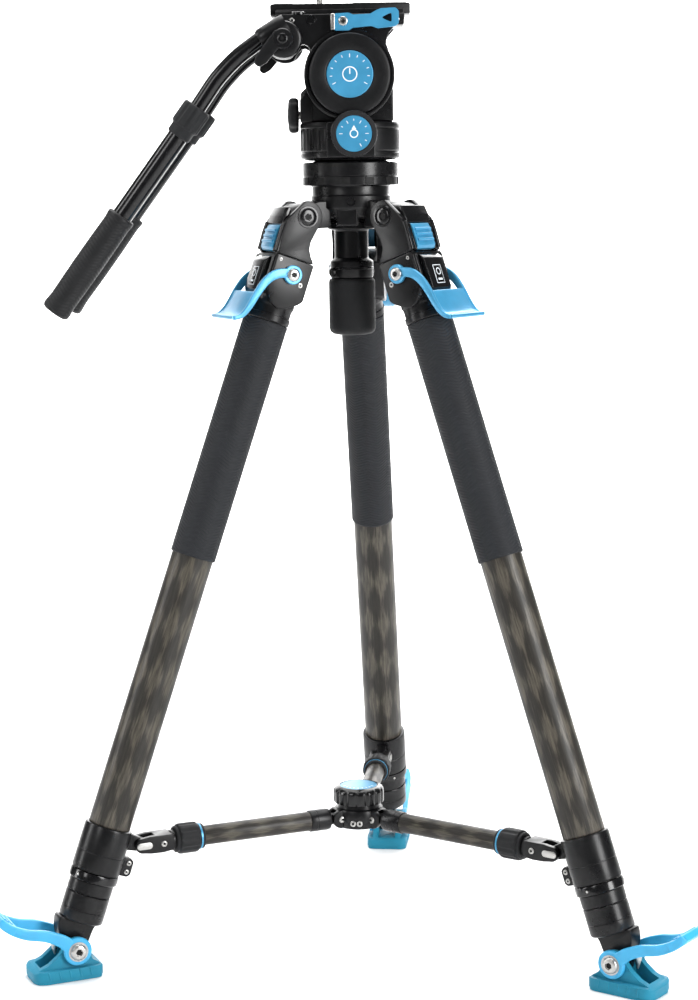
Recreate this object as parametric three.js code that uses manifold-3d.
// A telescopic camera tripod with a fluid video head, standing with its legs spread and their stages closed.
// Millimetres, +Z up. The tripod's own axis is at (AXIS_X, AXIS_Y); the origin is the middle of the footprint, on the floor.
// The head looks along +X. Three legs hinge on an apex casting; each carries a spreader arm, and the arms meet at a hub.
import * as THREE from "three";
import { mergeVertices } from "three/addons/utils/BufferGeometryUtils.js";
import Module from "manifold-3d";

const wasm = await Module();
wasm.setup();

// ---- driving dimensions ----
const AXIS_X = 19.09, AXIS_Y = -67.23; // tripod axis in the part's frame
const LEG_TILT = 19.67; // degrees from vertical
const LEG_AZIMUTH = { left: 203.5, right: -36.5, rear: 83.5 };
const PIVOT_R = 55, PIVOT_Z = 706.7; // leg hinge: distance from the axis, height
const FOOT_U = 721; // leg hinge to foot screw, along the leg
const FOOT_Z = 27.8; // foot screw height
const TUBE_R = 20, SLEEVE_R = 21.8, COLLAR_R = 23;
const SPREAD_R = 227.9, SPREAD_Z = 117.52; // arm hinge on the leg
const HUB_R = 22; // arm pivot on the hub
const TILT_Z = 837.7; // tilt axis height
const BALL_Z = 756, BALL_R = 38;
const PLATE_TOP = 904; // camera plate's top face
const GAP = 0.3;
const FACETS = 0.5; // share of the full facet count used on round shapes

const rad = (a) => (a * Math.PI) / 180;
const MAT = {
  black: { color: 0x121315, roughness: 0.35, metalness: 0.7 },
  satin: { color: 0x1b1c1f, roughness: 0.5, metalness: 0.5 },
  rubber: { color: 0x26282b, roughness: 0.8, metalness: 0.0 },
  carbon: { color: 0x3c3934, roughness: 0.4, metalness: 0.1 },
  blue: { color: 0x3f97cf, roughness: 0.35, metalness: 0.6 },
  pedal: { color: 0x35a3e0, roughness: 0.45, metalness: 0.0 },
  teal: { color: 0x2b9bbb, roughness: 0.6, metalness: 0.0 },
  steel: { color: 0xc9c9c6, roughness: 0.25, metalness: 1.0 },
};

// ---- solids ----
function clean(g) {
  const p = new THREE.BufferGeometry();
  p.setAttribute("position", (g.index ? g.toNonIndexed() : g).getAttribute("position").clone());
  return mergeVertices(p, 1e-4);
}
function solid(g) {
  const c = clean(g);
  const tri = new Uint32Array(c.index.array);
  const keep = [];
  for (let i = 0; i < tri.length; i += 3)
    if (tri[i] !== tri[i + 1] && tri[i + 1] !== tri[i + 2] && tri[i] !== tri[i + 2]) keep.push(tri[i], tri[i + 1], tri[i + 2]);
  let triVerts = new Uint32Array(keep);
  const make = () => new wasm.Manifold(new wasm.Mesh({ numProp: 3, vertProperties: c.attributes.position.array, triVerts }));
  let m = make();
  if (m.volume() < 0) {
    for (let i = 0; i < triVerts.length; i += 3) [triVerts[i + 1], triVerts[i + 2]] = [triVerts[i + 2], triVerts[i + 1]];
    m = make();
  }
  return m;
}
function geometry(m) {
  const mesh = m.getMesh(), n = mesh.numProp, v = new Float32Array(mesh.numVert * 3);
  for (let i = 0; i < mesh.numVert; i++) v.set(mesh.vertProperties.subarray(i * n, i * n + 3), i * 3);
  return new THREE.BufferGeometry().setAttribute("position", new THREE.BufferAttribute(v, 3)).setIndex(new THREE.BufferAttribute(new Uint32Array(mesh.triVerts), 1));
}
const join = (...gs) => geometry(gs.map(solid).reduce((a, b) => a.add(b)));
const cut = (g, ...tools) => geometry(tools.map(solid).reduce((a, b) => a.subtract(b), solid(g)));
const common = (a, b) => geometry(solid(a).intersect(solid(b)));

const facets = (n) => Math.max(6, Math.round((n * FACETS) / 2) * 2);
// Revolve [r, z] pairs round Z.
function turn(profile, n = 24) {
  const pts = [...profile], seg = facets(n);
  if (pts[0][0] !== 0) pts.push(pts[0]);
  return new THREE.LatheGeometry(pts.map(([r, z]) => new THREE.Vector2(r, z)), seg).rotateX(Math.PI / 2);
}
const rod = (r, z0, z1, seg = 24) => turn([[0, z0], [r, z0], [r, z1], [0, z1]], seg);
const pipe = (r, ri, z0, z1, seg = 24) => turn([[ri, z0], [r, z0], [r, z1], [ri, z1]], seg);
function box(x0, x1, y0, y1, z0, z1) {
  return new THREE.BoxGeometry(x1 - x0, y1 - y0, z1 - z0).translate((x0 + x1) / 2, (y0 + y1) / 2, (z0 + z1) / 2);
}
// Extrude an XZ outline between y0 and y1.
function plateXZ(pts, y0, y1, holes = []) {
  const s = new THREE.Shape(pts.map(([x, z]) => new THREE.Vector2(x, z)));
  for (const [x, z, r, n = 16] of holes) {
    const h = new THREE.Path();
    for (let i = 0; i < n; i++) {
      const a = (2 * Math.PI * i) / n;
      i ? h.lineTo(x + r * Math.cos(a), z + r * Math.sin(a)) : h.moveTo(x + r, z);
    }
    h.closePath();
    s.holes.push(h);
  }
  return new THREE.ExtrudeGeometry(s, { depth: y1 - y0, bevelEnabled: false, steps: 1 }).rotateX(Math.PI / 2).translate(0, y1, 0);
}
function plateXY(pts, z0, z1) {
  const s = new THREE.Shape(pts.map(([x, y]) => new THREE.Vector2(x, y)));
  return new THREE.ExtrudeGeometry(s, { depth: z1 - z0, bevelEnabled: false }).translate(0, 0, z0);
}
const rodY = (r, x, z, y0, y1, seg = 20) => rod(r, y0, y1, seg).rotateX(-Math.PI / 2).translate(x, 0, z);
const rodX = (r, y, z, x0, x1, seg = 20) => rod(r, x0, x1, seg).rotateY(Math.PI / 2).translate(0, y, z);
function arc(cx, cz, r, a0, a1, full) {
  const out = [], n = Math.max(3, Math.round(full * 0.7));
  for (let i = 0; i <= n; i++) {
    const a = rad(a0 + ((a1 - a0) * i) / n);
    out.push([cx + r * Math.cos(a), cz + r * Math.sin(a)]);
  }
  return out;
}
// A strip of even thickness along an XZ path.
function strip(path, h, y0, y1) {
  const up = [], dn = [];
  path.forEach(([x, z], i) => {
    const a = path[Math.max(0, i - 1)], b = path[Math.min(path.length - 1, i + 1)];
    const d = Math.hypot(b[0] - a[0], b[1] - a[1]), nx = -(b[1] - a[1]) / d, nz = (b[0] - a[0]) / d;
    const k = Array.isArray(h) ? h[i] / 2 : h / 2;
    up.push([x + nx * k, z + nz * k]);
    dn.push([x - nx * k, z - nz * k]);
  });
  return plateXZ([...up, ...dn.reverse()], y0, y1);
}

const root = new THREE.Group();
root.name = "tripod";
const onAxis = new THREE.Group();
onAxis.position.set(AXIS_X, AXIS_Y, 0);
root.add(onAxis);
function put(group, name, g, mat) {
  const m = new THREE.Mesh(g, new THREE.MeshStandardMaterial(MAT[mat]));
  m.name = name;
  group.add(m);
  return m;
}

// ---- apex casting with the bowl ----
{
  const ball = [[13, 700], [13, 720.5]];
  for (let i = 0; i <= 5; i++) {
    const a = rad(-69 + (69 * i) / 5);
    ball.push([BALL_R * Math.cos(a), BALL_Z + BALL_R * Math.sin(a)]);
  }
  let g = join(
    turn([[0, 703.5], [20, 703.5], [31, 706.5], [36, 713], [38, 715], [38, 726], [36.8, 727], [36.8, 735], [45.5, 735.5], [45.5, 756.8], [44.7, 757.6], [0, 757.6]], 32),
    ...Object.values(LEG_AZIMUTH).map((az) =>
      join(box(29, PIVOT_R, -18.2, 18.2, PIVOT_Z - 11, PIVOT_Z + 12), rodY(12.5, PIVOT_R, PIVOT_Z, -18.2, 18.2)).rotateZ(rad(az))),
  );
  g = cut(
    g,
    ...Object.values(LEG_AZIMUTH).map((az) => rodY(6.4, PIVOT_R, PIVOT_Z, -30, 30, 16).rotateZ(rad(az))),
    turn([[0, 690], ...ball, [38, 770], [0, 770]], 32),
    ...[20, 65, 110, 155, 200, 245, 290, 335].map((a) => box(40.5, 50, -5, 5, 730, 742).rotateZ(rad(a))),
    rodY(2.4, 0, 720, -60, -20, 12),
  );
  put(onAxis, "apex_bowl", g, "black");
}
// half ball with its stud, and the disc that the head turns on
{
  const prof = [[0, 672], [5, 672], [5, 722], [12, 722]];
  for (let i = 0; i <= 5; i++) {
    const a = rad(-64 + (66 * i) / 5);
    prof.push([(BALL_R - 1) * Math.cos(a), BALL_Z + (BALL_R - 1) * Math.sin(a)]);
  }
  put(onAxis, "half_ball", turn([...prof, [34, 759], [42.5, 759.6], [42.5, 760.2], [0, 760.2]], 32), "satin");
}
// tie-down handle, turned on the stud to clamp the half ball
put(onAxis, "tie_down_handle", cut(
  turn([[0, 593.5], [17, 593.5], [21.3, 597], [22.3, 601], [22.3, 644], [20.7, 648], [20.7, 664], [16.2, 666.5], [16.2, 693], [22.5, 694.5], [22.5, 700.8], [0, 700.8]], 24),
  rod(6.2, 666, 710, 16)), "rubber");

// ---- legs ----
function buildLeg(name, azimuth) {
  const arm = new THREE.Group(); // radial frame: x outward, y tangential
  arm.rotation.z = rad(azimuth);
  onAxis.add(arm);
  const leg = new THREE.Group(); // leg frame: -z runs down the leg, x is its outer side
  leg.position.set(PIVOT_R, 0, PIVOT_Z);
  leg.rotation.y = rad(-LEG_TILT);
  arm.add(leg);

  // shoulder: two cheeks, the block between them and the neck that takes the tube
  const cheek = [...arc(0, 0, 15, 65, 205, 7), [-11, -13], [-10.4, -24], [-13, -31], [-20.5, -38.5], [-20.5, -76], [-14, -82], [-4, -90], [2, -90], [8, -87], [18.3, -74], [18.3, -40], [19.6, -22], [19.6, -9]];
  let sh = join(
    plateXZ(cheek, -25, -19),
    plateXZ(cheek, 19, 25),
    box(-18.5, 16.5, -19.2, 19.2, -84, -43),
    plateXZ([...arc(0, 0, 16.2, -38, 12, 3), [19.4, 4], [20.8, -6], [20.2, -13.4], [15, -13.4]], -19.2, 19.2),
    plateXZ([[14, -84], [21.5, -84], [24.5, -78], [24.5, -52], [21.5, -48.5], [14, -48.5]], -15.5, 15.5),
    turn([[0, -103], [21, -103], [21, -90], [22, -84], [0, -76]], 24),
  );
  sh = cut(sh, rodY(9.5, 0, 0, -26, -22.5, 16), rodY(9.5, 0, 0, 22.5, 26, 16), rodY(5.2, -2, -56, -40, 40, 16));
  put(leg, name + "_shoulder", sh, "satin");
  // angle stop tab
  put(leg, name + "_angle_tab", plateXZ([[20.6, -14], [21.8, -20], [21.8, -36.5], [19.5, -39.3], [14.4, -39.3], [14.4, -16], [16.5, -14]], -14.5, 14.5), "blue");
  // stage lock lever: two arms on a cross axle, joined by a pedal
  const path = [[-2, -56], [7, -57.2], [16, -62], [22.5, -71], [26.8, -83], [29.5, -94], [32.5, -103], [36.5, -109], [42, -112.5]];
  const lever = join(
    strip(path, [9, 9.5, 9, 7.5, 6.5, 5.5, 5, 4.5, 4], -29, -25.4),
    strip(path, [9, 9.5, 9, 7.5, 6.5, 5.5, 5, 4.5, 4], 25.4, 29),
    strip(path.slice(4), [6.5, 5.5, 5, 4.5, 4], -29, 29),
    rodY(8.3, -2, -56, -29, -25.4), rodY(8.3, -2, -56, 25.4, 29), rodY(3.9, -2, -56, -31.5, 31.5, 12), rodY(6.8, -2, -56, -31.5, -28.9, 16), rodY(6.8, -2, -56, 28.9, 31.5, 16));
  put(leg, name + "_lock_lever", lever, "blue");
  // fixed tube, grip sleeve and bottom collar
  put(leg, name + "_upper_tube", pipe(TUBE_R, 18.3, -602, -103.3, 28), "carbon");
  put(leg, name + "_grip_sleeve", pipe(SLEEVE_R, TUBE_R + GAP, -336, -103.6, 28), "rubber");
  const hu = (SPREAD_R - PIVOT_R) * Math.sin(rad(LEG_TILT)) + (PIVOT_Z - SPREAD_Z) * Math.cos(rad(LEG_TILT));
  const hv = (SPREAD_R - PIVOT_R) * Math.cos(rad(LEG_TILT)) - (PIVOT_Z - SPREAD_Z) * Math.sin(rad(LEG_TILT));
  put(leg, name + "_upper_collar", cut(
    join(rod(COLLAR_R, -646.5, -602.3, 28), plateXZ([...arc(hv, -hu, 6.4, 90, 270, 6), [-15, -hu - 8], [-15, -hu + 8]], -4.6, 4.6),
      plateXZ([[-15, -628], [-31, -628], [-33.5, -630.5], [-33.5, -643], [-31, -645.5], [-15, -645.5]], -5.5, 5.5)),
    rod(18.3, -700, -600, 28), rodY(3.5, hv, -hu, -20, 20, 10)), "satin");
  // middle and lower telescopic stages
  put(leg, name + "_middle_stage", cut(
    turn([[0, -668], [21.2, -668], [21.2, -656], [23.2, -655.5], [23.2, -647.2], [17.9, -647.2], [17.9, -130], [0, -130]], 28), rod(15.9, -700, -100, 20)), "satin");
  const tau = rad(LEG_TILT), fx = 0, fz = -FOOT_U; // foot screw in the leg frame
  put(leg, name + "_lower_stage", cut(join(
    turn([[0, -695], [20.2, -695], [21.2, -693.5], [21.2, -668.4], [15.6, -668.4], [15.6, -150], [0, -150]], 20),
    plateXZ([[-14, -694.5], [-12, -706], [-11.2, -FOOT_U], ...arc(0, -FOOT_U, 11.2, 180, 290, 5), [11, -FOOT_U - 2], [19, -FOOT_U + 9], [23, -FOOT_U + 20], [23.5, -694.5]], -8.8, 8.8),
    rodY(4.2, fx, fz, -23.8, 23.8, 12), rodY(8, fx, fz, -23.8, -21.2, 16), rodY(8, fx, fz, 21.2, 23.8, 16)), rod(14, -640, -100, 16)), "satin");

  // foot, in the radial frame at the screw
  const fr = PIVOT_R + FOOT_U * Math.sin(tau);
  const foot = new THREE.Group();
  foot.position.set(fr, 0, FOOT_Z);
  arm.add(foot);
  const z0 = -FOOT_Z;
  const sole = [];
  for (const [cx, cy, a0] of [[30, 10, 0], [-15, 12, 90], [-15, -12, 180], [30, -10, 270]])
    sole.push(...arc(cx, cy, cx > 0 ? 12 : 10, a0, a0 + 90, 4));
  let shoe = join(
    common(plateXY(sole, z0, 14), plateXZ([[-26, z0], [43, z0], [43, z0 + 9], [37, z0 + 12.5], [27, z0 + 17], [18, z0 + 24], [12, 4], ...arc(0, 0, 11.5, 20, 160, 5), [-12, 0], [-15, z0 + 17], [-21, z0 + 13.5], [-26, z0 + 10]], -30, 30)));
  shoe = cut(shoe, box(-30, 13.5, -9.4, 9.4, z0 + 12.4, 20), box(13, 34, -9.4, 9.4, z0 + 5, 20), box(-30, 60, -30, -15.6, z0 + 12.2, 30), box(-30, 60, 15.6, 30, z0 + 12.2, 30), rodY(5.2, 0, 0, -30, 30, 14));
  put(foot, name + "_foot_shoe", shoe, "teal");
  const fl = [[0, 0], [17, 13], [31, 19], [47, 22.5], [59, 27.5], [73, 38]];
  const flh = [15, 12.5, 10.5, 10.5, 10.5, 9];
  put(foot, name + "_foot_lever", cut(join(
    strip(fl, flh, -20.9, -15.9), strip(fl, flh, 15.9, 20.9), rodY(12.9, 0, 0, -20.9, -15.9), rodY(12.9, 0, 0, 15.9, 20.9),
    strip(fl.slice(4), [10, 9], -20.9, 20.9)), rodY(5.2, 0, 0, -30, 30, 14)), "pedal");

  // spreader arm, in the radial frame at its hinge; w runs from the hinge towards the axis
  const sp = new THREE.Group();
  sp.position.set(SPREAD_R, 0, SPREAD_Z);
  arm.add(sp);
  const W = SPREAD_R - HUB_R; // hinge to hub pivot
  const alongW = (g) => g.rotateY(-Math.PI / 2); // +z to -x
  const tongueEnd = W + 5.5;
  let a = join(
    plateXZ([...arc(0, 0, 7.2, -90, 90, 6), [-30, 8.5], [-30, -8.5]], 5.0, 10.5),
    plateXZ([...arc(0, 0, 7.2, -90, 90, 6), [-30, 8.5], [-30, -8.5]], -10.5, -5.0),
    box(-31, -13, -10.5, 10.5, -8.5, 8.5),
    alongW(rod(9.5, 30, 176, 24)),
    alongW(turn([[0, 174], [10.6, 174], [10.6, W - 10], [0, W - 10]], 24)),
    box(-tongueEnd, -180, -4, 4, -4.9, 4.9),
    rodY(2.7, 0, 0, -10.5, 10.5, 10));
  a = cut(a, rodY(2.6, -W, 0, -10, 10, 10));
  put(sp, name + "_spreader_arm", a, "carbon");
  const tc = [];
  for (let i = 0; i < 32; i++) {
    const r = i % 4 < 2 ? 14.6 : 14.0, an = (2 * Math.PI * i) / 32;
    tc.push([r * Math.cos(an), r * Math.sin(an)]);
  }
  put(sp, name + "_twist_collar", cut(join(alongW(plateXY(tc, 37, 57)), alongW(rod(12.2, 56.5, 63, 20)), alongW(rod(12.6, 34, 37.5, 20))), alongW(rod(9.9, 20, 80, 24))), "rubber");
}
for (const [name, az] of Object.entries(LEG_AZIMUTH)) buildLeg(name, az);

// ---- spreader hub ----
{
  const z = SPREAD_Z;
  let g = join(rod(23.5, z - 9.3, z + 9.5, 24), rod(20.6, z + 9, z + 13.2, 24), rod(4, z + 13, z + 20, 12),
    ...Object.values(LEG_AZIMUTH).map((az) => join(box(0, HUB_R, -9.5, 9.5, z - 9, z + 9), rodY(9, HUB_R, z, -9.5, 9.5, 28)).rotateZ(rad(az))));
  g = cut(g, ...Object.values(LEG_AZIMUTH).map((az) => box(13, 40, -4.6, 4.6, z - 20, z + 8.2).rotateZ(rad(az))));
  g = join(g, ...Object.values(LEG_AZIMUTH).map((az) => rodY(2.2, HUB_R, z, -5, 5, 10).rotateZ(rad(az))));
  put(onAxis, "spreader_hub", g, "satin");
  const k = [];
  for (let i = 0; i < 24; i++) {
    const r = 25, an = (2 * Math.PI * i) / 24;
    k.push([r * Math.cos(an), r * Math.sin(an)]);
  }
  put(onAxis, "hub_knob", cut(common(plateXY(k, z + 13.9, z + 31), turn([[0, z + 13], [26, z + 13], [26, z + 26], [20, z + 31], [0, z + 31]], 32)), rod(4.3, z, z + 22, 14)), "black");
}

// ---- head ----
const head = onAxis;
// pan housing: drum with a flat pad at the front and the body that the cradle tilts on
{
  const T = TILT_Z;
  let g = join(
    turn([[0, 760.5], [46.5, 760.5], [47.5, 761.5], [47.5, 793.8], [46.5, 794.7], [0, 794.7]], 32),
    box(-22, 23.5, -50, 0, 761, 794.6),
    common(rodY(22, 3.5, 783, -53, -20, 24), box(-30, 40, -60, 0, 761, 794.6)),
    box(-46, 41, -27, 27, 790, 822),
    plateXZ([[-46, 815], [-46, 826], ...arc(0, T, 40, 197, -17, 12), [41, 826], [41, 815]], -27, 27),
    rodY(9, 0, T, -42, 42, 16),
  );
  g = cut(g, rodX(4.3, 0, 802, -70, -25, 14));
  put(head, "pan_housing", g, "satin");
}
// pan drag dial
put(head, "pan_drag_dial", turn([[0, 0], [20.9, 0], [21.4, 0.8], [21.4, 4.6], [20.2, 5.8], [0, 5.8]], 28).rotateX(Math.PI / 2).translate(3.5, -53.3, 783), "rubber");
// tilting cradle: cheeks on both sides, the platform over them and the plate's dovetail
{
  const T = TILT_Z;
  const side = [...arc(0, T, 42.4, -213, 33, 20), [34.5, 866], [37, 876], [44, 884], [51.5, 887], [51.5, 893.4], [-66, 893.4], ...arc(-61, 870, 17.5, 130, 300, 9), [-49, 862], [-44, 866], [-38.5, 864]];
  let g = join(
    plateXZ(side, -38, -28.2),
    plateXZ(side, 28.2, 38),
    box(-64, 51.5, -38, 38, 882.6, 893.4),
  );
  g = cut(g, rodY(10.4, 0, T, -50, 50, 18), rodY(6, -61, 870, -50, 50, 14));
  put(head, "tilt_cradle", g, "satin");
  put(head, "tilt_drag_dial", turn([[0, 0], [37.8, 0], [37.8, 7.5], [36.3, 9], [0, 9]], 36).rotateX(Math.PI / 2).translate(0.4, -42.3, T), "satin");
}
// camera plate and its screw
{
  let g = plateXZ([[-73.2, 893.8], [57.5, 893.8], [57.5, 902.5], [56, PLATE_TOP], [-71.7, PLATE_TOP], [-73.2, 902.5]], -25, 25);
  g = cut(g, box(-48, 0, -5.2, 5.2, 880, 920));
  put(head, "camera_plate", g, "black");
  put(head, "camera_screw", join(rod(3.1, 895, 911, 14).translate(-27, 0, 0), rod(4.9, 894.6, 901.5, 16).translate(-27, 0, 0)), "steel");
}
// plate clamp lever
{
  const T = 0;
  const pts = [[-14, 880], [-14, 896.6], [2, 897.2], [5, 895.6], [21, 896.5], [27, 900.2], [43, 901.2], [46.5, 898.8], [46.5, 887], [43, 884.6], [27, 882.4], [21, 884.6], [5, 883], [2, 880.4]].map(([x, z]) => [x, z - 3.5]);
  put(head, "plate_clamp_lever", join(plateXZ(pts, -47.3, -43.8), rodY(5.2, -6.5, 887, -44, -38.4, 16)), "blue");
}
// tilt lock knob on the operator's side
{
  const k = [];
  for (let i = 0; i < 24; i++) {
    const r = 15.6 + 1.6 * Math.cos((i * 2 * Math.PI * 6) / 24), an = (2 * Math.PI * i) / 24;
    k.push([r * Math.cos(an), r * Math.sin(an)]);
  }
  put(head, "tilt_lock_knob", join(plateXY(k, 0, 10), rod(3.9, -22, 1, 14)).rotateY(-Math.PI / 2).translate(-48.5, 0, 802), "rubber");
}
// pan bars, one each side: clamp on the rosette, its wing, curved arm, twist collar, tube and grip
function panBar(name, side) {
  const cx = -61, cz = 870, yc = -49.5;
  const place = (n, g, mat) => put(head, name + n, side < 0 ? g : geometry(solid(g.scale(1, -1, 1))), mat);
  const tubeAt = (p, q, r, seg = 16) => {
    const L = Math.hypot(q[0] - p[0], q[1] - p[1]);
    return rod(r, 0, L, seg).rotateY(Math.atan2(q[0] - p[0], q[1] - p[1])).translate(p[0], yc, p[1]);
  };
  const curve = new THREE.CatmullRomCurve3([[-80, 871.5], [-85.2, 867.8], [-104.3, 853.5], [-122, 835.5], [-135, 817.5], [-140.2, 810]].map(([x, z]) => new THREE.Vector3(x, yc, z)));
  const circle = new THREE.Shape();
  for (let i = 0; i < 10; i++) {
    const an = (2 * Math.PI * i) / 10;
    i ? circle.lineTo(7.8 * Math.cos(an), 7.8 * Math.sin(an)) : circle.moveTo(7.8, 0);
  }
  const bend = new THREE.ExtrudeGeometry(circle, { steps: 8, bevelEnabled: false, extrudePath: curve });
  const d = [-0.594, -0.804], P = [-140.2, 810];
  const at = (s) => [P[0] + d[0] * s, P[1] + d[1] * s];
  place("_arm", cut(
    join(rodY(17.2, cx, cz, -54, -38.4, 24), tubeAt([-57.5, 884.5], [-84, 868.5], 10, 18), bend, tubeAt(at(-2), at(80), 7.2)),
    rodY(6, cx, cz, -60, -30, 14), rodY(11.5, cx, cz, -70, -54.2, 18)), "black");
  place("_clamp_wing", join(rodY(9.5, cx, cz, -64.5, -54.4, 18), rodY(4.8, cx, cz, -56, -30, 12),
    plateXZ([[cx + 7, cz + 6], [cx - 8, cz + 6], [cx - 25, cz - 18], [cx - 24, cz - 24], [cx - 16, cz - 23.5], [cx + 6, cz - 7]], -64.5, -60)), "black");
  place("_collar", cut(join(tubeAt(at(1), at(25), 13.8, 24), tubeAt(at(24), at(34), 12.2, 20)), tubeAt(at(-5), at(12), 9.0), tubeAt(at(11.5), at(60), 10.9)), "rubber");
  place("_tube", cut(tubeAt(at(12.5), at(228), 9.7), tubeAt(at(0), at(225), 7.7)), "black");
  place("_grip", cut(join(tubeAt(at(124), at(232), 13.4, 24), tubeAt(at(231.5), at(235), 12, 20)), tubeAt(at(100), at(229), 10.1)), "rubber");
}
panBar("near_bar", -1);
panBar("far_bar", 1);

export default root;
